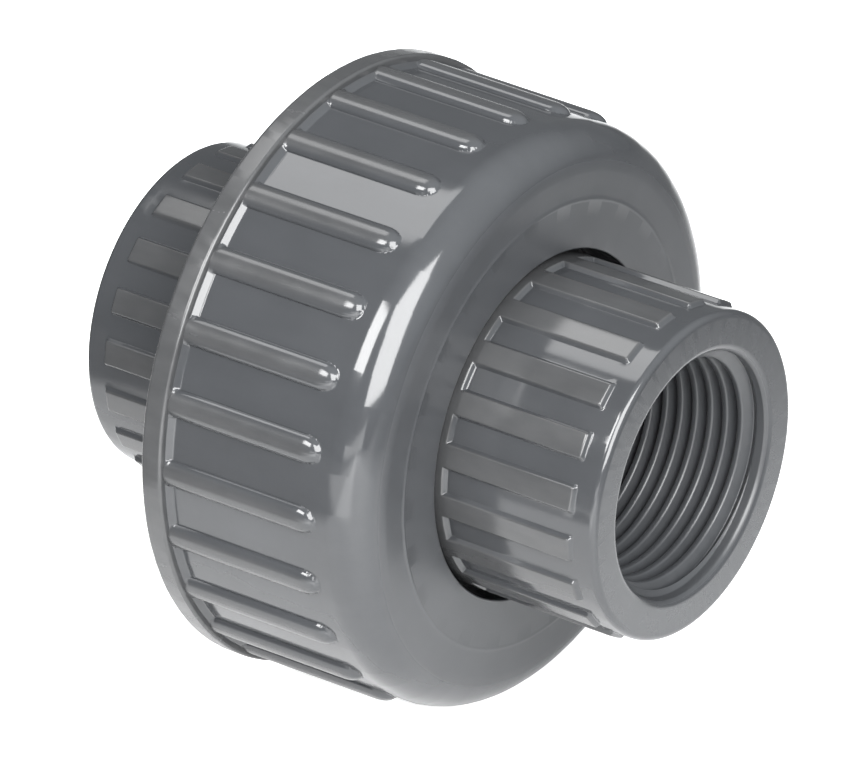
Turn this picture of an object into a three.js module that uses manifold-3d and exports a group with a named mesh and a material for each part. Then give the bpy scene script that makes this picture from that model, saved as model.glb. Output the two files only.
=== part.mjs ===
// Pipe union with internal 3/4-14 NPT pipe threads at both ends.
//
// Four pieces, all centred on the X axis, in millimetres with +Z up:
//   head       rear end fitting: pipe hub, and a collar with the coarse external union thread
//   tailpiece  front end fitting: pipe hub, and a flange with the seal groove
//   union_nut  screws onto the head and pulls the flange against it
//   o_ring     face seal in the flange's groove
// +X points out of the front end, and the origin is midway between the two end faces.
// Each piece is drawn with x measured from the head's sealing face, and the group centres them.
// Angles about X start at +Y and turn towards +Z.

import * as THREE from 'three';
import { mergeVertices } from 'three/addons/utils/BufferGeometryUtils.js';
import Module from 'manifold-3d';

const wasm = await Module();
wasm.setup();

const TURN = 2 * Math.PI;
const degrees = (angle) => (angle * Math.PI) / 180;

// ---------------------------------------------------------------- driving dimensions

const FRONT_FACE_X = 29.5;
const REAR_FACE_X = -34.6;
const WATERWAY_RADIUS = 10.4;
const WATERWAY_CHAMFER = 0.5;

// 3/4-14 NPT internal thread; radii are at the plane of the hub's face.
const PIPE_THREAD = {
  pitch: 1.8143,
  height: 1.45,
  majorRadius: 13.285,
  taper: 1 / 32,
  crestFlat: 0.3,
  firstRootDepth: 1.775,
  turns: 8,
  depth: 17.6,
  mouthRunOut: 0.3,
  fade: 0.4,
  overcut: 0.12,
  coreSink: 0.45,
};
const MOUTH = { edgeRadius: 13.75, edgeDepth: 0.5, chamferRadius: 13.1, chamferDepth: 1.9 };

// Grip pads around each pipe hub.
const PADS = {
  count: 20,
  halfAngle: degrees(5),
  height: 0.5,
  endSetback: 2.6,
  length: 15.4,
  sink: 1,
  lap: 0.2,
};
const HUB_EDGE_ROUND = 0.5;
const TAIL_HUB = { radius: 17.33, padPhase: degrees(4.7) };
const HEAD_HUB = { radius: 17.55, padPhase: degrees(10.1) };

// Union thread: coarse trapezoidal, right-hand, one start.
const UNION_THREAD = {
  lead: 4,
  depth: 1.5,
  headRootRadius: 24.7,
  nutRootRadius: 26.6,
  headCrestWidth: 1.1,
  headRootWidth: 2.5,
  nutCrestWidth: 1.25,
  nutRootWidth: 2.65,
  headTurns: [0, 3.1],
  nutTurns: [-0.35, 2.2],
  fade: 0.15,
};

const COLLAR = {
  bandX: -18.9,
  bandFillet: 0.8,
  rearX: -17.5,
  shoulderRadius: 26,
  shoulderFrontX: -15.3,
  shoulderSlope: 0.5,
  faceRadius: 23.8,
  chamfer: 0.8,
};
const FLANGE = { backX: 0.3, frontX: 5.9, radius: 23.9, chamfer: 0.5, hubFillet: 0.8 };
const SEAL = { ringRadius: 16.9, sectionRadius: 1.2, centreX: 1.3, grooveHalfWidth: 1.5, grooveFloorX: 2.6 };

const NUT = {
  rearX: -15.5,
  noseX: 11,
  noseShoulderX: 6.2,
  noseBoreRadius: 18.6,
  noseFlatRadius: 26.65,
  cavityRadius: 25.2,
  bodyRearRadius: 31.25,
  bodyFrontRadius: 31.1,
  rimRadius: 32.6,
  rimFrontX: -12.85,
  edgeRound: 0.5,
  threadEndX: -1.7,
  threadRunOut: 1.2,
  mouthChamfer: 0.9,
  noseBoreChamfer: 0.2,
};
const RIBS = {
  count: 26,
  phase: degrees(54.4),
  halfWidth: 1.5,
  topRearRadius: 32.15,
  topFrontRadius: 31.95,
  tipX: 5.35,
  sink: 0.8,
  rimLap: 0.5,
};

// X of the head's thread crest at angle 0; the nut's crest is half a lead ahead of it.
const HEAD_THREAD_ZERO_X = -14.1;
// How far an added thread's root sinks into its wall, and how far its foot reaches below that.
const OVERLAP = 0.1;
const BURIED = 0.3;

// Facets around a full turn. Each thread has as many as the surface it is joined to or cut from.
const NUT_SEGMENTS = 48;
const HUB_SEGMENTS = 40;
const BORE_SEGMENTS = 20;
const SEAL_SEGMENTS = 36;

// ---------------------------------------------------------------- geometry helpers

// A closed geometry as a solid that can be joined and cut.
function solidFrom(geometry) {
  geometry.deleteAttribute('normal');
  geometry.deleteAttribute('uv');
  const merged = mergeVertices(geometry, 1e-4);
  const mesh = new wasm.Mesh({
    numProp: 3,
    vertProperties: merged.attributes.position.array,
    triVerts: new Uint32Array(merged.index.array),
  });
  return new wasm.Manifold(mesh);
}

function geometryFrom(solid) {
  const mesh = solid.simplify(0.005).getMesh();
  const geometry = new THREE.BufferGeometry();
  geometry.setAttribute('position', new THREE.BufferAttribute(mesh.vertProperties, 3));
  geometry.setIndex(new THREE.BufferAttribute(mesh.triVerts, 1));
  geometry.computeVertexNormals();
  return geometry;
}

// A ring turned about X from a closed outline of [x, radius] points, listed in either direction.
function turned(outline, segments) {
  const points = outline.map(([x, radius]) => new THREE.Vector2(radius, x));
  if (THREE.ShapeUtils.area(points) < 0) {
    points.reverse();
  }
  points.push(points[0].clone());
  const geometry = new THREE.LatheGeometry(points, segments);
  geometry.rotateZ(-Math.PI / 2);
  return solidFrom(geometry);
}

// Points on an arc in the [x, radius] plane, both ends included.
function arc(centreX, centreRadius, size, from, to, steps) {
  return Array.from({ length: steps + 1 }, (_, i) => {
    const angle = from + ((to - from) * i) / steps;
    return [centreX + size * Math.cos(angle), centreRadius + size * Math.sin(angle)];
  });
}

// A solid skinned over equal-sized closed rings of points, capped at both ends.
function lofted(rings) {
  const size = rings[0].length;
  const positions = rings.flat().flatMap((point) => [point.x, point.y, point.z]);
  const index = [];
  for (let ring = 0; ring < rings.length - 1; ring += 1) {
    for (let i = 0; i < size; i += 1) {
      const a = ring * size + i;
      const b = ring * size + ((i + 1) % size);
      index.push(a, b, b + size, a, b + size, a + size);
    }
  }
  const last = (rings.length - 1) * size;
  for (let i = 1; i < size - 1; i += 1) {
    index.push(0, i + 1, i, last, last + i, last + i + 1);
  }
  const geometry = new THREE.BufferGeometry();
  geometry.setAttribute('position', new THREE.Float32BufferAttribute(positions, 3));
  geometry.setIndex(index);
  return solidFrom(geometry);
}

// The point at an x, a radius and an angle about the X axis.
function polar(x, radius, angle) {
  return new THREE.Vector3(x, radius * Math.cos(angle), radius * Math.sin(angle));
}

// A right-hand helical bar that passes zeroX at angle 0. section(turn, full) gives its outline at
// that turn as counter-clockwise [offset x, radius] points; full fades from 1 to 0 at both ends.
function helicalBar({ zeroX, lead, from, to, fade, segments, section }) {
  const steps = Math.round((to - from) * segments);
  const rings = [];
  for (let i = 0; i <= steps; i += 1) {
    const turn = from + ((to - from) * i) / steps;
    const centreX = zeroX + lead * turn;
    const full = Math.min(1, (turn - from) / fade, (to - turn) / fade);
    rings.push(section(turn, full).map(([x, radius]) => polar(centreX + x, radius, TURN * turn)));
  }
  return lofted(rings);
}

function joined(first, others) {
  return others.reduce((sum, next) => sum.add(next), first);
}

// ---------------------------------------------------------------- pipe hubs

// The tapered groove that cuts a pipe thread into a hub's bore.
// inward is +1 where the bore runs towards +X, and -1 where it runs towards -X.
function pipeThreadGroove(faceX, inward) {
  const { pitch, height, majorRadius, taper, crestFlat, firstRootDepth, overcut } = PIPE_THREAD;
  const flankSlope = (pitch - crestFlat) / 2 / height;
  const mouthTurn = -PIPE_THREAD.mouthRunOut * inward;
  const deepTurn = PIPE_THREAD.turns * inward;
  return helicalBar({
    zeroX: faceX + inward * firstRootDepth,
    lead: pitch,
    from: Math.min(mouthTurn, deepTurn),
    to: Math.max(mouthTurn, deepTurn),
    fade: PIPE_THREAD.fade,
    segments: BORE_SEGMENTS,
    section: (turn, full) => {
      const depth = firstRootDepth + pitch * inward * turn;
      const crest = majorRadius - height - depth * taper;
      const root = crest - overcut + (height + overcut) * full;
      const half = (pitch - crestFlat) / 2 + overcut * flankSlope;
      const buried = crest - PIPE_THREAD.coreSink;
      return [
        [-half, buried],
        [half, buried],
        [half, crest - overcut],
        [0, root],
        [-half, crest - overcut],
      ];
    },
  });
}

// The core that opens a hub's bore, from its mouth down to the waterway, with the pipe thread on it.
function boreCore(faceX, inward) {
  const { majorRadius, height, taper, depth } = PIPE_THREAD;
  const minorAt = (at) => majorRadius - height - at * taper;
  const reach = 1;
  const inner = WATERWAY_RADIUS - reach;
  const outline = [
    [depth + minorAt(depth) - inner, inner],
    [depth, minorAt(depth)],
    [MOUTH.chamferDepth, minorAt(MOUTH.chamferDepth)],
    [MOUTH.edgeDepth, MOUTH.chamferRadius],
    [0, MOUTH.edgeRadius],
    [-reach, MOUTH.edgeRadius],
    [-reach, inner],
  ];
  const core = turned(outline.map(([at, radius]) => [faceX + inward * at, radius]), BORE_SEGMENTS);
  return core.add(pipeThreadGroove(faceX, inward));
}

// The hub's rounded outer edge at its face, as [depth, radius] points going inwards.
function hubEdgeOutline(radius) {
  return arc(HUB_EDGE_ROUND, radius - HUB_EDGE_ROUND, HUB_EDGE_ROUND, Math.PI, Math.PI / 2, 3);
}

// One grip pad as a curved bar on the +Y side, from x to x + length.
function gripPad(x, length, baseRadius) {
  const from = Math.PI / 2 - PADS.halfAngle;
  const to = Math.PI / 2 + PADS.halfAngle;
  const shape = new THREE.Shape();
  shape.absarc(0, 0, baseRadius + PADS.height, from, to, false);
  shape.absarc(0, 0, baseRadius - PADS.sink, to, from, true);
  const geometry = new THREE.ExtrudeGeometry(shape, { depth: length, bevelEnabled: false, curveSegments: 2 });
  geometry.rotateY(Math.PI / 2);
  geometry.translate(x, 0, 0);
  return geometry;
}

function gripPads(x, length, hub) {
  return Array.from({ length: PADS.count }, (_, i) => {
    const pad = gripPad(x, length, hub.radius);
    pad.rotateX(hub.padPhase + (TURN * i) / PADS.count);
    return solidFrom(pad);
  });
}

// ---------------------------------------------------------------- pieces

function head() {
  const atRear = ([depth, radius]) => [REAR_FACE_X + depth, radius];
  const bandRadius = HEAD_HUB.radius + PADS.height;
  const { bandX, bandFillet } = COLLAR;
  const { headRootRadius } = UNION_THREAD;
  const outline = [
    [REAR_FACE_X, WATERWAY_RADIUS],
    ...hubEdgeOutline(HEAD_HUB.radius).map(atRear),
    [bandX, HEAD_HUB.radius],
    [bandX, bandRadius],
    ...arc(COLLAR.rearX - bandFillet, bandRadius + bandFillet, bandFillet, -Math.PI / 2, 0, 3),
    [COLLAR.rearX, COLLAR.shoulderRadius - COLLAR.chamfer],
    [COLLAR.rearX + COLLAR.chamfer, COLLAR.shoulderRadius],
    [COLLAR.shoulderFrontX, COLLAR.shoulderRadius],
    [COLLAR.shoulderFrontX + COLLAR.shoulderSlope, headRootRadius],
    [COLLAR.faceRadius - headRootRadius, headRootRadius],
    [0, COLLAR.faceRadius],
    [0, WATERWAY_RADIUS + WATERWAY_CHAMFER],
    [-WATERWAY_CHAMFER, WATERWAY_RADIUS],
  ];
  const padStart = REAR_FACE_X + PADS.endSetback;
  const pads = gripPads(padStart, bandX - padStart + PADS.lap, HEAD_HUB);
  const body = joined(turned(outline, HUB_SEGMENTS), pads);
  return body.add(headThread()).subtract(boreCore(REAR_FACE_X, 1));
}

// External union thread, joined to the head's collar.
function headThread() {
  const { lead, depth, headRootRadius, headCrestWidth, headRootWidth, fade } = UNION_THREAD;
  const [from, to] = UNION_THREAD.headTurns;
  const rootHalf = headRootWidth / 2;
  const crestHalf = headCrestWidth / 2;
  return helicalBar({
    zeroX: HEAD_THREAD_ZERO_X,
    lead,
    from,
    to,
    fade,
    segments: HUB_SEGMENTS,
    section: (_, full) => {
      const root = headRootRadius - OVERLAP;
      const crest = root + (depth + OVERLAP) * full;
      return [
        [-rootHalf, root - BURIED],
        [rootHalf, root - BURIED],
        [rootHalf, root],
        [crestHalf, crest],
        [-crestHalf, crest],
        [-rootHalf, root],
      ];
    },
  });
}

function tailpiece() {
  const atFront = ([depth, radius]) => [FRONT_FACE_X - depth, radius];
  const bandRadius = TAIL_HUB.radius + PADS.height;
  const padEnd = FRONT_FACE_X - PADS.endSetback;
  const bandX = padEnd - PADS.length;
  const { backX, frontX, radius, chamfer, hubFillet } = FLANGE;
  const outline = [
    [FRONT_FACE_X, WATERWAY_RADIUS],
    ...hubEdgeOutline(TAIL_HUB.radius).map(atFront),
    [bandX, TAIL_HUB.radius],
    [bandX, bandRadius],
    ...arc(frontX + hubFillet, bandRadius + hubFillet, hubFillet, -Math.PI / 2, -Math.PI, 3),
    [frontX, radius - chamfer],
    [frontX - chamfer, radius],
    [backX + chamfer, radius],
    [backX, radius - chamfer],
    [backX, SEAL.ringRadius + SEAL.grooveHalfWidth],
    [SEAL.grooveFloorX, SEAL.ringRadius + SEAL.grooveHalfWidth],
    [SEAL.grooveFloorX, SEAL.ringRadius - SEAL.grooveHalfWidth],
    [backX, SEAL.ringRadius - SEAL.grooveHalfWidth],
    [backX, WATERWAY_RADIUS + WATERWAY_CHAMFER],
    [backX + WATERWAY_CHAMFER, WATERWAY_RADIUS],
  ];
  const pads = gripPads(bandX - PADS.lap, PADS.length + PADS.lap, TAIL_HUB);
  return joined(turned(outline, HUB_SEGMENTS), pads).subtract(boreCore(FRONT_FACE_X, -1));
}

// One grip rib on the nut's +Y side: a rounded bar that runs out of the rim and ends in a half-round tip.
function gripRib() {
  const { halfWidth, topRearRadius, topFrontRadius, tipX } = RIBS;
  const startX = NUT.rimFrontX - RIBS.rimLap;
  const tipCentreX = tipX - halfWidth;
  const stations = [
    [startX, 1],
    [tipCentreX, 1],
    [tipCentreX + halfWidth * 0.7, 0.7],
    [tipX, 0.15],
  ];
  const crown = [0, 1, 1, 0];
  const rings = stations.map(([x, fullness]) => {
    const along = (x - startX) / (tipX - startX);
    const body = NUT.bodyRearRadius + (NUT.bodyFrontRadius - NUT.bodyRearRadius) * along;
    const top = topRearRadius + (topFrontRadius - topRearRadius) * along;
    const width = halfWidth * fullness;
    const ring = crown.map((rise, i) => {
      const across = 1 - (2 * i) / (crown.length - 1);
      const lift = (top - body) * rise * Math.min(1, 0.35 + fullness);
      return new THREE.Vector3(x, body + lift, width * Math.sign(across) * Math.abs(across) ** 0.7);
    });
    const buried = body - RIBS.sink;
    return [new THREE.Vector3(x, buried, width), new THREE.Vector3(x, buried, -width), ...ring.reverse()];
  });
  return lofted(rings);
}

// Internal union thread, joined to the nut's bore.
function nutThread() {
  const { lead, depth, nutRootRadius, nutCrestWidth, nutRootWidth, fade } = UNION_THREAD;
  const [from, to] = UNION_THREAD.nutTurns;
  const rootHalf = nutRootWidth / 2;
  const crestHalf = nutCrestWidth / 2;
  return helicalBar({
    zeroX: HEAD_THREAD_ZERO_X + lead / 2,
    lead,
    from,
    to,
    fade,
    segments: NUT_SEGMENTS,
    section: (_, full) => {
      const root = nutRootRadius + OVERLAP;
      const crest = root - (depth + OVERLAP) * full;
      return [
        [-rootHalf, root + BURIED],
        [-rootHalf, root],
        [-crestHalf, crest],
        [crestHalf, crest],
        [rootHalf, root],
        [rootHalf, root + BURIED],
      ];
    },
  });
}

function unionNut() {
  const { rearX, rimRadius, edgeRound, cavityRadius } = NUT;
  const { noseX, noseShoulderX, noseBoreRadius, noseFlatRadius } = NUT;
  const { nutRootRadius } = UNION_THREAD;
  const domeRound = NUT.bodyFrontRadius - noseFlatRadius;
  const outline = [
    [noseX, noseFlatRadius],
    ...arc(noseX - domeRound, noseFlatRadius, domeRound, 0, Math.PI / 2, 5).slice(1),
    [NUT.rimFrontX, NUT.bodyRearRadius],
    [NUT.rimFrontX, rimRadius - edgeRound],
    [NUT.rimFrontX - edgeRound, rimRadius],
    [rearX + edgeRound, rimRadius],
    [rearX, rimRadius - edgeRound],
    [rearX, nutRootRadius + NUT.mouthChamfer],
    [rearX + NUT.mouthChamfer, nutRootRadius],
    [NUT.threadEndX, nutRootRadius],
    [NUT.threadEndX + NUT.threadRunOut, cavityRadius],
    [noseShoulderX, cavityRadius],
    [noseShoulderX, noseBoreRadius],
    [noseX - NUT.noseBoreChamfer, noseBoreRadius],
    [noseX, noseBoreRadius + NUT.noseBoreChamfer],
  ];
  const rib = gripRib();
  const ribs = Array.from({ length: RIBS.count }, (_, i) => {
    const turn = (RIBS.phase * 180) / Math.PI + (360 * i) / RIBS.count;
    return rib.rotate([turn, 0, 0]);
  });
  return joined(turned(outline, NUT_SEGMENTS), ribs).add(nutThread());
}

function oRing() {
  const section = arc(SEAL.centreX, SEAL.ringRadius, SEAL.sectionRadius, 0, TURN, 8).slice(1);
  return turned(section, SEAL_SEGMENTS);
}

// ---------------------------------------------------------------- scene graph

function pvc(color) {
  return new THREE.MeshStandardMaterial({ color, roughness: 0.32, metalness: 0 });
}

function rubber(color) {
  return new THREE.MeshStandardMaterial({ color, roughness: 0.6, metalness: 0 });
}

function piece(name, solid, material) {
  const mesh = new THREE.Mesh(geometryFrom(solid), material);
  mesh.name = name;
  return mesh;
}

const pipeUnion = new THREE.Group();
pipeUnion.name = 'pipe_union';
pipeUnion.position.x = -(FRONT_FACE_X + REAR_FACE_X) / 2;
pipeUnion.add(piece('head', head(), pvc(0x6c7073)));
pipeUnion.add(piece('o_ring', oRing(), rubber(0x141414)));
pipeUnion.add(piece('tailpiece', tailpiece(), pvc(0x6e7275)));
pipeUnion.add(piece('union_nut', unionNut(), pvc(0x6a6e71)));

export default pipeUnion;
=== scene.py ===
import math

import bmesh
import bpy
import numpy as np
from mathutils import Matrix, Vector


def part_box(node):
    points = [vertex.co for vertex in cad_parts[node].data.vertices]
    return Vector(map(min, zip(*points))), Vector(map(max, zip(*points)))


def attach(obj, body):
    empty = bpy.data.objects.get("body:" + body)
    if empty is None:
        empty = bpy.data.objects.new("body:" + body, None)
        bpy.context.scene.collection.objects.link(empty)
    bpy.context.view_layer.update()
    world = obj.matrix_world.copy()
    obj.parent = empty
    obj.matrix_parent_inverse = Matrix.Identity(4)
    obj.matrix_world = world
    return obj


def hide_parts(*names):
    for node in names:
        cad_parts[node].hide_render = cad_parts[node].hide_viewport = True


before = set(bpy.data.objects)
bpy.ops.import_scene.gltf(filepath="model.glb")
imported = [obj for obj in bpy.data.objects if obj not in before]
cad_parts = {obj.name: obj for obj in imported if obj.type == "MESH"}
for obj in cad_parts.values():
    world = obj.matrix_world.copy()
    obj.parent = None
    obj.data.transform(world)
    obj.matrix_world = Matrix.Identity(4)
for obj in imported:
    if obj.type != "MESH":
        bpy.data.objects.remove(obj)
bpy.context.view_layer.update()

# Pipe union in moulded grey PVC: two threaded pipe hubs, a ribbed nut and a face seal.
#
# Sizes are in millimetres. x runs along the pipe axis from the head's sealing face, towards the
# front. Angles about the axis start at +Y and turn towards +Z. Each fitting is one skin of
# quads wrapped round the axis; its ribs, pads and threads are relief on that skin.

MM = 0.001
TURN = 2 * math.pi

FRONT_X = 29.5
REAR_X = -34.6
SEAL_FACE_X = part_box("tailpiece")[1].x - FRONT_X * MM

WATERWAY_RADIUS = 10.4
HUB = {"edge_round": 0.75, "face_length": 1.6, "pads": 20, "pad_half": 1.5, "pad_height": 0.5,
       "end_setback": 2.55, "side_draft": 58, "end_draft": 54, "foot_round": 0.12,
       "side_round": 0.15, "end_round": 0.18}
TAIL_HUB = {"radius": 17.33, "phase": 4.7, "band_x": 11.5}
HEAD_HUB = {"radius": 17.55, "phase": 10.1, "band_x": -19.0}
PIPE_THREAD = {"pitch": 1.8143, "height": 1.3, "major": 13.285, "taper": 1 / 32, "crest": 0.6,
               "crest_round": 0.3, "root": 0.16, "root_round": 0.09, "root_depth": 1.775,
               "turns": 8.0, "run_in": 0.25, "fade": 0.4, "depth": 17.6}
MOUTH = {"edge_radius": 13.4, "edge_round": 0.95, "edge_depth": 0.5, "wall": 13.1,
         "lead_in": ((0.5, 13.1), (1.35, 12.97), (2.2, 11.9), (2.3, 0.0))}
UNION_THREAD = {"lead": 4.0, "depth": 1.5, "corner": 0.16, "fade": 0.15, "zero_x": -14.1,
                "head_root": 24.7, "head_widths": (1.1, 2.5), "head_turns": (0.0, 3.1),
                "nut_root": 26.6, "nut_widths": (1.25, 2.65), "nut_turns": (-0.35, 2.2)}
COLLAR = {"rear_x": -17.5, "front_x": -15.3, "radius": 26.0, "face_radius": 23.8,
          "thread_rear_x": -14.8, "thread_front_x": -0.9}
NUT = {"rear_x": -15.5, "rim_x": -12.95, "rim": 32.6, "rim_step": 0.57, "rim_bevel": 0.6,
       "body_rear": 31.25, "body_front": 31.1, "dome_round": 4.45, "nose_x": 11.0,
       "nose_bore": 18.6, "nose_rise": 0.07, "nose_edge": 25.6, "ring": 23.8, "shoulder_x": 6.2,
       "cavity": 25.2, "thread_end_x": -1.7, "lead_in": 0.9, "relief": 1.2}
RIBS = {"count": 26, "phase": 54.4, "half": 1.5, "tip_x": 5.45, "tip_length": 2.1,
        "top_rear": 32.15, "top_front": 31.95}
FLANGE = {"back_x": 0.3, "front_x": 5.9, "radius": 23.9}
SEAL = {"ring": 16.9, "section": 1.2, "centre_x": 1.3, "groove_half": 1.5, "groove_x": 2.6,
        "flash": 0.02}

# Where the mesh has its rows and columns: close together on edges and walls, wide apart elsewhere.
PAD_COLUMNS = (0.75, 1.05, 1.13, 1.2, 1.27, 1.35, 1.43, 1.5, 1.6, 2.1)
PAD_END_ROWS = np.array([-0.12, -0.04, 0.03, 0.09, 0.16, 0.24, 0.31, 0.37, 0.44, 0.55])
RIB_COLUMN_SHARES = (0.2, 0.4, 0.57, 0.7, 0.8, 0.88, 0.94, 0.98, 1.0, 1.1)
RIB_TIP_ROW_STEP = 0.1
NUT_BODY_ROWS = (-10.5, -8.0, -5.0, -2.0, 1.0, 2.8)
WELD = 2e-4
WELD_SHIFT = 0.137

HEAD_GREY = (0.031, 0.0326, 0.0352)
TAILPIECE_GREY = (0.033, 0.0346, 0.0372)
NUT_GREY = (0.0345, 0.0362, 0.039)
RUBBER_BLACK = (0.012, 0.012, 0.012)
PVC_IOR = 1.53
GLOSS_ROUGHNESS = 0.11
MATT_ROUGHNESS = 0.26
PAD_WEAR = 0.06
RIB_WEAR = 0.16

# Floor places are in metres from the object, to the camera's right and towards the camera.
# The card's darkening sides and the level beyond it are painted shade, where the light on the floor
# falls off.
FLOOR = {"size": 3.0, "card_shaded_left": (-0.09, -0.07), "card_shaded_right": (0.14, 0.05), "card": (0.73, 0.75),
         "shaded_beyond_card": 0.12, "camera_glow": 0.75, "window_left": (-0.2, -0.17),
         "window_right": (0.0, -0.03), "window_ahead": (0.09, 0.13), "window_glow": 2.2}
ROOM = {"brightest": (20, 50), "cosines": (0.3, 1.0), "levels": (0.25, 1.25),
        "tint": (0.93, 0.97, 1.0, 1.0)}
LAMP_DISTANCE = 1.0

CAMERA = {"azimuth": 36.563, "elevation": 27.954, "distance": 782.0, "right": -27.28, "up": 9.35,
          "lens": 332.8, "sensor": 36.0}


# ---------------------------------------------------------------- skins

class Skin:
    """Patches of quads over (x, radius, angle) grids, welded into one closed mesh."""

    def __init__(self):
        self.points, self.quads, self.total = [], [], 0

    def patch(self, x, radius, angle, shift=0):
        """Adds a grid of rows by columns that closes round the axis.
        A spiral's last column meets its first one shift rows further on."""
        x, radius, angle = np.broadcast_arrays(x, radius, angle)
        rows, columns = x.shape
        grid = np.arange(rows * columns).reshape(rows, columns) + self.total
        self.total += rows * columns
        corners = np.stack([x, radius * np.cos(angle), radius * np.sin(angle)], -1)
        self.points.append(corners.reshape(-1, 3))
        inner = [grid[:-1, :-1], grid[1:, :-1], grid[1:, 1:], grid[:-1, 1:]]
        self.quads.append(np.stack(inner, -1).reshape(-1, 4))
        last, first = grid[:rows - shift, -1], grid[shift:, 0]
        self.quads.append(np.stack([last[:-1], last[1:], first[1:], first[:-1]], -1))

    def piece(self, name, sharp=40):
        """Welds the patches into one smooth-shaded object, whose edges over sharp degrees stay
        hard. Quads that the weld pinches become triangles or go."""
        points = np.concatenate(self.points)
        quads = np.concatenate(self.quads)
        keys = np.round(points / WELD + WELD_SHIFT).astype(np.int64)
        _, keep, index = np.unique(keys, axis=0, return_index=True, return_inverse=True)
        points, quads = points[keep], index.reshape(-1)[quads]
        whole = (quads != np.roll(quads, 1, axis=1)).all(axis=1)
        faces = quads[whole].tolist()
        for quad in quads[~whole].tolist():
            face = [v for i, v in enumerate(quad) if v != quad[i - 1]]
            if len(face) == 3 and len(set(face)) == 3:
                faces.append(face)
        points[:, 0] += SEAL_FACE_X / MM
        mesh = bpy.data.meshes.new(name)
        mesh.from_pydata((points * MM).tolist(), [], faces)
        bm = bmesh.new()
        bm.from_mesh(mesh)
        loose = [v for v in bm.verts if not v.link_faces]
        bmesh.ops.delete(bm, geom=loose, context="VERTS")
        bmesh.ops.recalc_face_normals(bm, faces=bm.faces)
        bm.to_mesh(mesh)
        bm.free()
        mesh.shade_smooth()
        mesh.set_sharp_from_angle(angle=math.radians(sharp))
        piece = bpy.data.objects.new(name, mesh)
        bpy.context.scene.collection.objects.link(piece)
        weighted = piece.modifiers.new("weighted_normals", "WEIGHTED_NORMAL")
        weighted.keep_sharp = True
        return piece


def unit(vector):
    return vector / np.linalg.norm(vector)


def rounded(points, steps=4):
    """The polyline through (x, radius) points, where a third number rounds that corner."""
    places = [np.array(point[:2], float) for point in points]
    line = []
    for i, point in enumerate(points):
        here = places[i]
        if len(point) < 3 or i in (0, len(points) - 1):
            line.append(here)
            continue
        before, after = unit(places[i - 1] - here), unit(places[i + 1] - here)
        half = math.acos(np.clip(before @ after, -1, 1)) / 2
        centre = here + unit(before + after) * point[2] / math.sin(half)
        start = here + before * point[2] / math.tan(half) - centre
        end = here + after * point[2] / math.tan(half) - centre
        sweep = math.atan2(start[0] * end[1] - start[1] * end[0], start @ end)
        first = math.atan2(start[1], start[0])
        for k in range(steps + 1):
            angle = first + sweep * k / steps
            line.append(centre + point[2] * np.array([math.cos(angle), math.sin(angle)]))
    return np.array(line)


def flank(draft, foot, crown):
    """A pad's height, as a share of the full one, against distance in from its foot: a fillet, a
    drafted wall and a rounded top."""
    wall = HUB["pad_height"] / math.tan(math.radians(draft))
    return rounded([(-1.0, 0), (0.0, 0, foot), (wall, 1, crown), (wall + 1.0, 1)], steps=6)


def columns(count, phase, offsets, radius):
    """Column angles, at the offsets in mm either side of count evenly spaced centres, and each
    column's angle from its centre."""
    pitch = TURN / count
    half = [offset / radius for offset in offsets]
    steps = [-a for a in reversed(half)] + [0.0] + half + [pitch / 2]
    start = math.radians(phase)
    angles = np.array([start + i * pitch + step for i in range(count) for step in steps])
    centres = np.repeat(start + pitch * np.arange(count), len(steps))
    return angles, angles - centres


def spiral(skin, low, high, zero, lead, section, radius, angles):
    """A helical patch from x = low to high. section lists (offset, value) over one lead, centred
    on the helix, and radius(x, turn, value) gives the surface."""
    offsets, values = section[:-1, 0], section[:-1, 1]
    per_turn = len(offsets)
    first_turn = math.floor((low - zero) / lead - angles[-1] / TURN) - 1
    last_turn = math.ceil((high - zero) / lead - angles[0] / TURN) + 1
    numbers = np.arange(first_turn, last_turn + 1)
    turn = numbers[:, None, None] + angles[None, None, :] / TURN
    turn = np.broadcast_to(turn, (len(numbers), per_turn, len(angles))).reshape(-1, len(angles))
    offset = np.tile(offsets, len(numbers))[:, None]
    value = np.tile(values, len(numbers))[:, None]
    x = zero + lead * turn + offset
    surface = radius(x, turn, np.broadcast_to(value, x.shape))
    snap = 0.02
    low_edge, high_edge = x < low + snap, x > high - snap
    surface = np.where(low_edge, radius(np.full_like(x, low), turn, 0 * x), surface)
    surface = np.where(high_edge, radius(np.full_like(x, high), turn, 0 * x), surface)
    x = np.where(low_edge, low, np.where(high_edge, high, x))
    skin.patch(x, surface, angles[None, :], shift=per_turn)


# ---------------------------------------------------------------- threads

def thread_section(lead, crest, root):
    """A trapezoidal ridge over one lead, as (offset, height from 0 to 1)."""
    corner, depth = UNION_THREAD["corner"], UNION_THREAD["depth"]
    points = [(-lead / 2, 0), (-root / 2, 0, corner), (-crest / 2, depth, corner),
              (crest / 2, depth, corner), (root / 2, 0, corner), (lead / 2, 0)]
    line = rounded(points, steps=3)
    line[:, 1] /= depth
    return line


def union_thread(skin, low, high, zero, root, outward, widths, turns, angles):
    """A coarse thread between x = low and high, whose ridge fades in and out over turns."""
    lead, depth, fade = UNION_THREAD["lead"], UNION_THREAD["depth"], UNION_THREAD["fade"]

    def radius(x, turn, value):
        full = np.clip(np.minimum(turn - turns[0], turns[1] - turn) / fade, 0, 1)
        full = full * full * (3 - 2 * full)
        return root + outward * depth * full * value

    spiral(skin, low, high, zero, lead, thread_section(lead, *widths), radius, angles)


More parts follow.
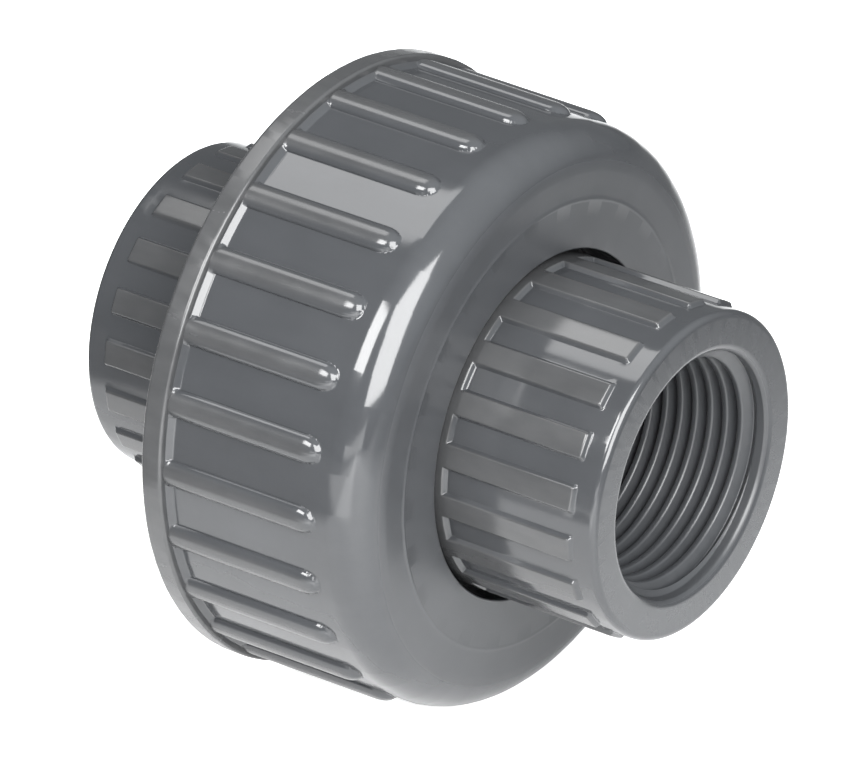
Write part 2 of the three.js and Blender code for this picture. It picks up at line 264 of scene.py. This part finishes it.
def pipe_thread(skin, face_x, inward, angles):
    """The tapered thread in a hub's bore, from the mouth's lead-in down to its plain end, whose
    radius is given back."""
    pitch, height, major = PIPE_THREAD["pitch"], PIPE_THREAD["height"], PIPE_THREAD["major"]
    crest, crest_round = PIPE_THREAD["crest"], PIPE_THREAD["crest_round"]
    root, root_round = PIPE_THREAD["root"], PIPE_THREAD["root_round"]
    points = [(-pitch / 2, 0), (-pitch / 2 + crest / 2, 0, crest_round),
              (-root / 2, height, root_round), (root / 2, height, root_round),
              (pitch / 2 - crest / 2, 0, crest_round), (pitch / 2, 0)]
    section = rounded(points, steps=5)

    def radius(x, turn, value):
        depth = (x - face_x) * inward
        along = turn * inward
        end = np.clip((PIPE_THREAD["turns"] - along) / PIPE_THREAD["fade"], 0, 1)
        start = np.clip((depth - MOUTH["edge_depth"]) / PIPE_THREAD["run_in"], 0, 1)
        thread = major - height - depth * PIPE_THREAD["taper"] + value * end * start
        return np.maximum(thread, np.interp(depth, *zip(*MOUTH["lead_in"])))

    mouth = face_x + inward * MOUTH["edge_depth"]
    deep = face_x + inward * PIPE_THREAD["depth"]
    spiral(skin, min(mouth, deep), max(mouth, deep), face_x + inward * PIPE_THREAD["root_depth"],
           pitch, section, radius, angles)
    return major - height - PIPE_THREAD["depth"] * PIPE_THREAD["taper"]


# ---------------------------------------------------------------- hubs

def revolve(skin, line, angles):
    """A patch that turns an (x, radius) line about the axis."""
    skin.patch(line[:, :1], line[:, 1:], angles[None, :])


def pad_relief(x, across, hub, outward, face_x):
    """Height of the grip pads, and of the band behind them, at x and an arc offset."""
    side = flank(HUB["side_draft"], HUB["foot_round"], HUB["side_round"])
    end = flank(HUB["end_draft"], HUB["foot_round"], HUB["end_round"])
    from_side = HUB["pad_half"] - np.abs(across)
    from_end = (face_x - x) * outward - HUB["end_setback"]
    from_band = (hub["band_x"] - x) * outward
    pads = np.interp(from_side, side[:, 0], side[:, 1]) * np.interp(from_end, end[:, 0], end[:, 1])
    band = np.interp(from_band, end[:, 0], end[:, 1])
    return HUB["pad_height"] * np.maximum(pads, band)


def hub_outside(skin, face_x, outward, hub, beyond):
    """A pipe hub from the mouth of its bore, over its face and its padded outside and band,
    then on along the (x, radius) profile beyond."""
    angles, across = columns(HUB["pads"], hub["phase"], PAD_COLUMNS, hub["radius"])
    base = hub["radius"]
    band = (face_x - hub["band_x"]) * outward
    setback = HUB["end_setback"]
    between = np.linspace(setback + 1.4, band - 0.8, 5)
    depths = [*(setback + PAD_END_ROWS), *between, *(band + PAD_END_ROWS)]

    def at(depth):
        return face_x - outward * depth

    edge = rounded([(at(MOUTH["edge_depth"]), MOUTH["wall"]),
                    (at(0.0), MOUTH["edge_radius"], MOUTH["edge_round"]),
                    (at(0.0), base, HUB["edge_round"]), (at(HUB["face_length"]), base)], steps=8)
    line = np.concatenate([edge, [(at(depth), base) for depth in depths]])
    relief = pad_relief(line[:, :1], (across * base)[None, :], hub, outward, face_x)
    skin.patch(line[:, :1], line[:, 1:] + relief, angles[None, :])
    revolve(skin, rounded([(line[-1, 0], base + HUB["pad_height"]), *beyond]), angles)
    return angles


def hub_bore(skin, face_x, outward, angles, waterway_x):
    """The threaded bore, its plain end, and the waterway on to waterway_x."""
    plain = pipe_thread(skin, face_x, -outward, angles)
    plain_x = face_x - outward * PIPE_THREAD["depth"]
    cone_x = face_x - outward * (PIPE_THREAD["depth"] + plain - WATERWAY_RADIUS)
    line = [(plain_x, plain), (cone_x, WATERWAY_RADIUS, 0.6), (waterway_x, WATERWAY_RADIUS)]
    revolve(skin, rounded(line), angles)


# ---------------------------------------------------------------- pieces

def tailpiece():
    """The front end fitting: hub, and a flange with the seal's groove in its back face."""
    skin = Skin()
    band = TAIL_HUB["radius"] + HUB["pad_height"]
    back, front, radius = FLANGE["back_x"], FLANGE["front_x"], FLANGE["radius"]
    outer, inner = SEAL["ring"] + SEAL["groove_half"], SEAL["ring"] - SEAL["groove_half"]
    waterway, seam_x = WATERWAY_RADIUS, back + 1.0
    beyond = [(front, band, 0.8), (front, radius, 0.5), (back, radius, 0.5),
              (back, outer, 0.15), (SEAL["groove_x"], outer, 0.3), (SEAL["groove_x"], inner, 0.3),
              (back, inner, 0.15), (back, waterway, 0.45), (seam_x, waterway)]
    angles = hub_outside(skin, FRONT_X, 1, TAIL_HUB, beyond)
    hub_bore(skin, FRONT_X, 1, angles, seam_x)
    return skin.piece("tailpiece_body")


def head():
    """The rear end fitting: hub, collar with the coarse external thread, flat sealing face."""
    skin = Skin()
    band = HEAD_HUB["radius"] + HUB["pad_height"]
    root, waterway, seam_x = UNION_THREAD["head_root"], WATERWAY_RADIUS, -1.0
    low, high = COLLAR["thread_rear_x"], COLLAR["thread_front_x"]
    rear, front, radius = COLLAR["rear_x"], COLLAR["front_x"], COLLAR["radius"]
    collar = [(rear, band, 0.8), (rear, radius, 0.8), (front, radius, 0.3), (low, root)]
    face = [(high, root), (0.0, COLLAR["face_radius"], 0.2), (0.0, waterway, 0.45),
            (seam_x, waterway)]
    angles = hub_outside(skin, REAR_X, -1, HEAD_HUB, collar)
    union_thread(skin, low, high, UNION_THREAD["zero_x"], root, 1, UNION_THREAD["head_widths"],
                 UNION_THREAD["head_turns"], angles)
    revolve(skin, rounded(face), angles)
    hub_bore(skin, REAR_X, -1, angles, seam_x)
    return skin.piece("head_body")


def rib_relief(x, across, height):
    """Height of the nut's grip ribs: round-topped bars whose rounded front ends slope down."""
    length = RIBS["tip_length"]
    along = np.maximum(x - (RIBS["tip_x"] - length), 0) / length
    out = np.clip(np.hypot(along, across / RIBS["half"]), 0, 1)
    return height * (1 - out ** 2.2) ** 0.6


def union_nut():
    """The ring nut: ribbed outside, domed front, nose round the hub, and the internal thread."""
    skin = Skin()
    mean = (NUT["body_rear"] + NUT["body_front"]) / 2
    offsets = [share * RIBS["half"] for share in RIB_COLUMN_SHARES]
    angles, from_rib = columns(RIBS["count"], RIBS["phase"], offsets, mean)
    lead_in, root, high = NUT["lead_in"], UNION_THREAD["nut_root"], NUT["thread_end_x"]
    low = NUT["rear_x"] + lead_in
    rim_x, rim, body_rear, bevel = NUT["rim_x"], NUT["rim"], NUT["body_rear"], NUT["rim_bevel"]
    rear = rounded([(low, root), (NUT["rear_x"], root + lead_in, 0.25), (NUT["rear_x"], rim, 0.5),
                    (rim_x, rim, 0.35), (rim_x, body_rear + NUT["rim_step"], 0.12),
                    (rim_x + bevel, body_rear, 0.3), (rim_x + bevel + 0.5, body_rear)], steps=6)
    tip = np.arange(RIBS["tip_x"] - RIBS["tip_length"], RIBS["tip_x"] + 0.2, RIB_TIP_ROW_STEP)
    body = [(x, body_rear) for x in (*NUT_BODY_ROWS, *tip)]
    quarter = np.linspace(math.pi / 2, 0, 29)
    dome_x = NUT["nose_x"] - NUT["dome_round"]
    dome = NUT["dome_round"] * np.stack([np.cos(quarter), np.sin(quarter)], -1)
    dome += (dome_x, NUT["body_front"] - NUT["dome_round"])
    nose, bore, ring = NUT["nose_x"], NUT["nose_bore"], NUT["ring"]
    dish = nose - NUT["nose_rise"]
    front = [(nose - 0.03, NUT["nose_edge"]), (dish, ring + 0.5), (dish + 0.02, ring + 0.22),
             (nose, ring + 0.1), (nose, ring), (nose - 0.01, ring - 0.12), (dish, ring - 0.26),
             (dish, bore + 3.4)]
    shoulder, cavity = NUT["shoulder_x"], NUT["cavity"]
    bore_line = rounded([(dish, bore + 1.6), (dish, bore, 0.2), (shoulder, bore, 0.2),
                         (shoulder, cavity, 0.4), (high + NUT["relief"], cavity, 0.4),
                         (high, root)], steps=6)
    line = np.concatenate([rear, body, dome, front, bore_line])
    x, radius = line[:, :1], line[:, 1:]
    outside = (np.arange(len(line))[:, None] < len(rear) + len(body)) & (x > rim_x - 0.01)
    share = np.clip((x - rim_x) / (dome_x - rim_x), 0, 1)
    taper = share * (NUT["body_front"] - body_rear)
    top = RIBS["top_rear"] + share * (RIBS["top_front"] - RIBS["top_rear"])
    ribbed = body_rear + taper + rib_relief(x, (from_rib * mean)[None, :], top - body_rear - taper)
    surface = np.where(outside, np.maximum(radius + taper, ribbed), radius)
    skin.patch(x, surface, angles[None, :])
    union_thread(skin, low, high, UNION_THREAD["zero_x"] + UNION_THREAD["lead"] / 2, root, -1,
                 UNION_THREAD["nut_widths"], UNION_THREAD["nut_turns"], angles)
    return skin.piece("nut_body")


def seal_ring():
    """The face seal: a round-section ring with the fine flash line of its mould."""
    skin = Skin()
    angles = np.linspace(0, TURN, 180, endpoint=False)
    around = np.linspace(0, TURN, 49)[:, None]
    flash = SEAL["flash"] * np.exp(-(np.sin(around) ** 2) / 0.008) * np.ones_like(angles)
    size = SEAL["section"] - SEAL["flash"] + flash
    x = SEAL["centre_x"] + size * np.sin(around)
    radius = SEAL["ring"] + size * np.cos(around)
    x[-1], radius[-1] = x[0], radius[0]
    skin.patch(x, radius, angles[None, :])
    return skin.piece("seal_ring", sharp=80)


# ---------------------------------------------------------------- materials

class Nodes:
    """Small helper that builds a material's node tree."""

    def __init__(self, name):
        self.material = bpy.data.materials.new(name)
        self.material.use_nodes = True
        self.tree = self.material.node_tree
        self.shader = self.tree.nodes["Principled BSDF"]
        self.place = self.tree.nodes.new("ShaderNodeTexCoord").outputs["Object"]

    def add(self, kind, inputs=None, **settings):
        node = self.tree.nodes.new(kind)
        for key, value in settings.items():
            setattr(node, key, value)
        for key, value in (inputs or {}).items():
            if isinstance(value, bpy.types.NodeSocket):
                self.tree.links.new(value, node.inputs[key])
            else:
                node.inputs[key].default_value = value
        return node

    def noise(self, size_mm, detail=3, seed=0.0, stretch=(1, 1, 1)):
        """A noise from 0 to 1 whose blobs are about size_mm across."""
        scale = [s / (size_mm * MM) for s in stretch]
        moved = self.add("ShaderNodeMapping", {"Vector": self.place, "Scale": scale,
                                               "Location": (seed, seed * 1.7, seed * 2.3)})
        node = self.add("ShaderNodeTexNoise", {"Vector": moved.outputs[0], "Scale": 1.0,
                                               "Detail": detail})
        return node.outputs["Fac"]

    def math(self, operation, first, second):
        return self.add("ShaderNodeMath", {0: first, 1: second}, operation=operation).outputs[0]

    def spread(self, value, low, high):
        """Maps a noise's usual 0.3 to 0.7 onto low to high."""
        node = self.add("ShaderNodeMapRange", {"Value": value, "From Min": 0.3, "From Max": 0.7,
                                               "To Min": low, "To Max": high})
        return node.outputs[0]

    def ramp(self, value, low, high):
        """Rises smoothly from 0 to 1 as the value passes from low to high."""
        node = self.add("ShaderNodeMapRange", {"Value": value, "From Min": low, "From Max": high},
                        interpolation_type="SMOOTHSTEP")
        return node.outputs[0]

    def dot(self, direction):
        """Distance from the object's centre along direction, in metres."""
        return self.add("ShaderNodeVectorMath", {0: self.place, 1: direction},
                        operation="DOT_PRODUCT").outputs["Value"]

    def radius(self):
        """Distance from the pipe axis, in metres."""
        parts = self.add("ShaderNodeSeparateXYZ", {0: self.place}).outputs
        flat = self.add("ShaderNodeCombineXYZ", {"Y": parts[1], "Z": parts[2]}).outputs[0]
        return self.add("ShaderNodeVectorMath", {0: flat}, operation="LENGTH").outputs["Value"]

    def along(self):
        """Distance along the pipe axis, in metres."""
        return self.add("ShaderNodeSeparateXYZ", {0: self.place}).outputs[0]

    def mix(self, share, first, second, blend="MIX"):
        """One colour over another, each given as numbers or as a socket."""
        return self.add("ShaderNodeMix", {0: share, 6: first, 7: second}, data_type="RGBA",
                        blend_type=blend).outputs[2]

    def grey(self, value):
        return self.add("ShaderNodeCombineColor", {"Red": value, "Green": value,
                                                   "Blue": value}).outputs[0]

    def bump(self, height, depth_mm, below=None):
        """A bump of that depth, on top of the bump below."""
        inputs = {"Height": height, "Strength": 1.0, "Distance": depth_mm * MM}
        if below is not None:
            inputs["Normal"] = below
        return self.add("ShaderNodeBump", inputs).outputs[0]

    def finish(self, sockets):
        """Sets the surface's sockets, and gives back the finished material."""
        for key, value in sockets.items():
            if isinstance(value, bpy.types.NodeSocket):
                self.tree.links.new(value, self.shader.inputs[key])
            else:
                self.shader.inputs[key].default_value = value
        return self.material


def pvc(name, colour, seed, wear_and_light_radii, wear, matt_x=FRONT_X + 1.0):
    """Gloss moulded PVC: faint flow marks, a slight orange peel, and scuffed grips. The crest radii
    give, in mm, where the surface passes from a valley to a crest: valleys carry painted shade,
    darker and bluer, and crests carry painted light, lighter and less blue, as well as real scuffs.
    wear is a crest's added roughness. The bore is matt, and so is the face in front of matt_x."""
    nodes = Nodes(name)
    clouds = nodes.spread(nodes.noise(9, 4, seed), 0.94, 1.06)
    flow = nodes.spread(nodes.noise(2.2, 3, seed + 4, stretch=(0.25, 1, 1)), 0.97, 1.03)
    speck = nodes.spread(nodes.noise(0.16, 1, seed + 9), 0.985, 1.015)
    radius = nodes.radius()
    # Runs from 0 in valleys to 1 on crests: it places the painted light and shade, the scuffs and the
    # added roughness.
    crest = nodes.ramp(radius, wear_and_light_radii[0] * MM, wear_and_light_radii[1] * MM)
    rubs = nodes.spread(nodes.noise(1.6, 4, seed + 31, stretch=(0.4, 1, 1)), 0, 1)
    scuff = nodes.math("MULTIPLY", crest, rubs)
    level = nodes.math("MULTIPLY", nodes.math("MULTIPLY", clouds, flow), speck)
    paler = nodes.math("ADD", 1.0, nodes.math("MULTIPLY", scuff, 0.16))
    level = nodes.math("MULTIPLY", level, paler)
    # Painted light and shade: crests lighter and less blue, valleys darker and bluer.
    painted_light_and_shade = nodes.mix(crest, (*colour, 1.0), (*lit_crest_grey(colour), 1.0))
    tint = nodes.mix(1.0, painted_light_and_shade, nodes.grey(level), blend="MULTIPLY")
    gloss = nodes.spread(nodes.noise(5, 4, seed + 13), -0.015, 0.02)
    worn = nodes.math("MULTIPLY", nodes.math("ADD", scuff, crest), wear / 2)
    bore = nodes.ramp(radius, (MOUTH["edge_radius"] + 0.3) * MM, (MOUTH["wall"] + 0.1) * MM)
    matt_start = SEAL_FACE_X + matt_x * MM
    face = nodes.ramp(nodes.along(), matt_start - 0.2 * MM, matt_start)
    matt = nodes.math("MULTIPLY", nodes.math("MAXIMUM", bore, face), MATT_ROUGHNESS)
    base = nodes.math("ADD", matt, GLOSS_ROUGHNESS)
    roughness = nodes.math("ADD", nodes.math("ADD", gloss, worn), base)
    waves = nodes.bump(nodes.noise(4.5, 2, seed + 21), 0.008)
    grain = nodes.bump(nodes.noise(0.32, 2, seed + 25), 0.0009, waves)
    return nodes.finish({"Base Color": tint, "Roughness": roughness, "IOR": PVC_IOR,
                         "Normal": grain})


def lit_crest_grey(colour):
    """The same grey a little lighter and with less of its blue: painted light on the crests."""
    mean = sum(colour) / 3
    return tuple(1.07 * (0.6 * mean + 0.4 * part) for part in colour)


def rubber(name, colour, seed):
    """Smooth black rubber with a faint, uneven bloom."""
    nodes = Nodes(name)
    bloom = nodes.spread(nodes.noise(3, 4, seed), 0.8, 1.25)
    tint = nodes.mix(1.0, (*colour, 1.0), bloom, blend="MULTIPLY")
    roughness = nodes.spread(nodes.noise(0.8, 3, seed + 3), 0.42, 0.55)
    grain = nodes.bump(nodes.noise(0.12, 2, seed + 6), 0.004)
    return nodes.finish({"Base Color": tint, "Roughness": roughness, "Normal": grain})


# ---------------------------------------------------------------- assembly

def fit(piece, node, body, material):
    """Gives a piece its material, the CAD node it stands for and the body it rides on."""
    piece.data.materials.append(material)
    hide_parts(node)
    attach(piece, body)


def pads_of(hub):
    """The radii between which a hub's surface passes from a valley to a pad's crest."""
    return hub["radius"] + HUB["pad_height"] / 2, hub["radius"] + HUB["pad_height"]


fit(head(), "head", "head",
    pvc("head_pvc", HEAD_GREY, 3.0, pads_of(HEAD_HUB), PAD_WEAR))
fit(seal_ring(), "o_ring", "seal", rubber("seal_rubber", RUBBER_BLACK, 5.0))
fit(tailpiece(), "tailpiece", "tailpiece",
    pvc("tailpiece_pvc", TAILPIECE_GREY, 11.0, pads_of(TAIL_HUB), PAD_WEAR))
fit(union_nut(), "union_nut", "nut",
    pvc("nut_pvc", NUT_GREY, 23.0, (NUT["body_rear"] + 0.3, RIBS["top_rear"]), RIB_WEAR,
        matt_x=NUT["nose_x"] - 0.1))


# ---------------------------------------------------------------- studio

def towards(azimuth, elevation):
    """The unit vector that way, in degrees from +X towards +Y and up from level."""
    a, e = math.radians(azimuth), math.radians(elevation)
    return Vector((math.cos(a) * math.cos(e), math.sin(a) * math.cos(e), math.sin(e)))


def floor():
    """A sheet of white card, painted darker out at its sides: painted shade where the light on the
    floor falls off, seen only in the fitting's reflections. The card's sides are out of view, and it
    is lit from within for the camera, which keeps the shadows seen on it faint. Between camera and
    fitting, also out of view, a strip glows like a window's light on the floor: it gives the nut's
    dome its lower reflections."""
    size, under = FLOOR["size"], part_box("union_nut")[0].z
    corners = [(-size, -size, under), (size, -size, under), (size, size, under), (-size, size, under)]
    mesh = bpy.data.meshes.new("floor")
    mesh.from_pydata(corners, [], [(0, 1, 2, 3)])
    sheet = bpy.data.objects.new("floor", mesh)
    bpy.context.scene.collection.objects.link(sheet)
    nodes = Nodes("floor_white")
    sideways = nodes.dot(towards(CAMERA["azimuth"], 0))
    ahead = nodes.dot(towards(CAMERA["azimuth"] - 90, 0))
    # Painted shade: the card darkens towards its sides, as the light on the floor falls off.
    card = nodes.math("MULTIPLY", nodes.ramp(sideways, *FLOOR["card_shaded_left"]),
                      nodes.ramp(sideways, *FLOOR["card_shaded_right"]))
    strip = nodes.math("MULTIPLY", nodes.ramp(sideways, *FLOOR["window_left"]),
                       nodes.ramp(sideways, *FLOOR["window_right"]))
    window = nodes.math("MULTIPLY", nodes.ramp(ahead, *FLOOR["window_ahead"]), strip)
    fibres = nodes.spread(nodes.noise(60, 2, 1.0), *FLOOR["card"])
    painted_light_and_shade = nodes.math("ADD", nodes.math("MULTIPLY", card, fibres), FLOOR["shaded_beyond_card"])
    seen = nodes.add("ShaderNodeLightPath").outputs["Is Camera Ray"]
    glow = nodes.math("ADD", nodes.math("MULTIPLY", seen, FLOOR["camera_glow"]),
                      nodes.math("MULTIPLY", window, FLOOR["window_glow"]))
    mesh.materials.append(nodes.finish({
        "Base Color": nodes.grey(painted_light_and_shade), "Roughness": 0.5,
        "Emission Color": (1.0, 1.0, 1.0, 1.0), "Emission Strength": glow}))


def softbox(name, azimuth, elevation, width, height, radiance, roll=0.0):
    """A flat lamp in that direction from the object, facing it. Its sides are in metres."""
    light = bpy.data.lights.new(name, "AREA")
    light.shape = "RECTANGLE"
    light.size, light.size_y = width, height
    light.energy = radiance * math.pi * width * height
    lamp = bpy.data.objects.new(name, light)
    bpy.context.scene.collection.objects.link(lamp)
    out = towards(azimuth, elevation)
    facing = out.to_track_quat("Z", "Y").to_matrix().to_4x4()
    rolled = facing @ Matrix.Rotation(math.radians(roll), 4, "Z")
    lamp.matrix_world = Matrix.Translation(out * LAMP_DISTANCE) @ rolled


def room():
    """Dim light from all round, and a brighter stretch of ceiling out beyond the front hub."""
    world = bpy.data.worlds.new("room")
    world.use_nodes = True
    tree = world.node_tree
    coordinates = tree.nodes.new("ShaderNodeTexCoord")
    facing = tree.nodes.new("ShaderNodeVectorMath")
    facing.operation = "DOT_PRODUCT"
    facing.inputs[1].default_value = towards(*ROOM["brightest"])
    tree.links.new(coordinates.outputs["Generated"], facing.inputs[0])
    level = tree.nodes.new("ShaderNodeMapRange")
    level.interpolation_type = "SMOOTHSTEP"
    for key, values in {"From": ROOM["cosines"], "To": ROOM["levels"]}.items():
        level.inputs[key + " Min"].default_value = values[0]
        level.inputs[key + " Max"].default_value = values[1]
    tree.links.new(facing.outputs["Value"], level.inputs["Value"])
    background = tree.nodes["Background"]
    background.inputs["Color"].default_value = ROOM["tint"]
    tree.links.new(level.outputs[0], background.inputs["Strength"])
    bpy.context.scene.world = world


floor()
room()
softbox("left_softbox", -102.4, 42, 0.48, 0.42, 18.0)
softbox("key_softbox", -36.3, 33.7, 0.75, 0.80, 14.0, roll=-10)
softbox("back_softbox", 170.5, 67.0, 0.41, 0.42, 4.8, roll=8)
softbox("front_reflector", -66, 3.5, 0.75, 0.13, 3.5)

bpy.context.scene.view_settings.view_transform = "Standard"
bpy.context.scene.view_settings.look = "None"


# ---------------------------------------------------------------- camera

def camera():
    """The photograph's view: it aims beside the centre of the front face, by right and up."""
    data = bpy.data.cameras.new("camera")
    data.lens, data.sensor_width, data.sensor_fit = CAMERA["lens"], CAMERA["sensor"], "HORIZONTAL"
    data.clip_start, data.clip_end = 0.01, 20.0
    view = bpy.data.objects.new("camera", data)
    bpy.context.scene.collection.objects.link(view)
    back = towards(CAMERA["azimuth"] - 90, CAMERA["elevation"])
    right = towards(CAMERA["azimuth"], 0)
    up = back.cross(right)
    axes = Matrix((right, up, back)).transposed().to_4x4()
    aim = Vector((SEAL_FACE_X + FRONT_X * MM, 0, 0))
    place = aim + (back * CAMERA["distance"] + right * CAMERA["right"] + up * CAMERA["up"]) * MM
    view.matrix_world = Matrix.Translation(place) @ axes
    bpy.context.scene.camera = view


camera()
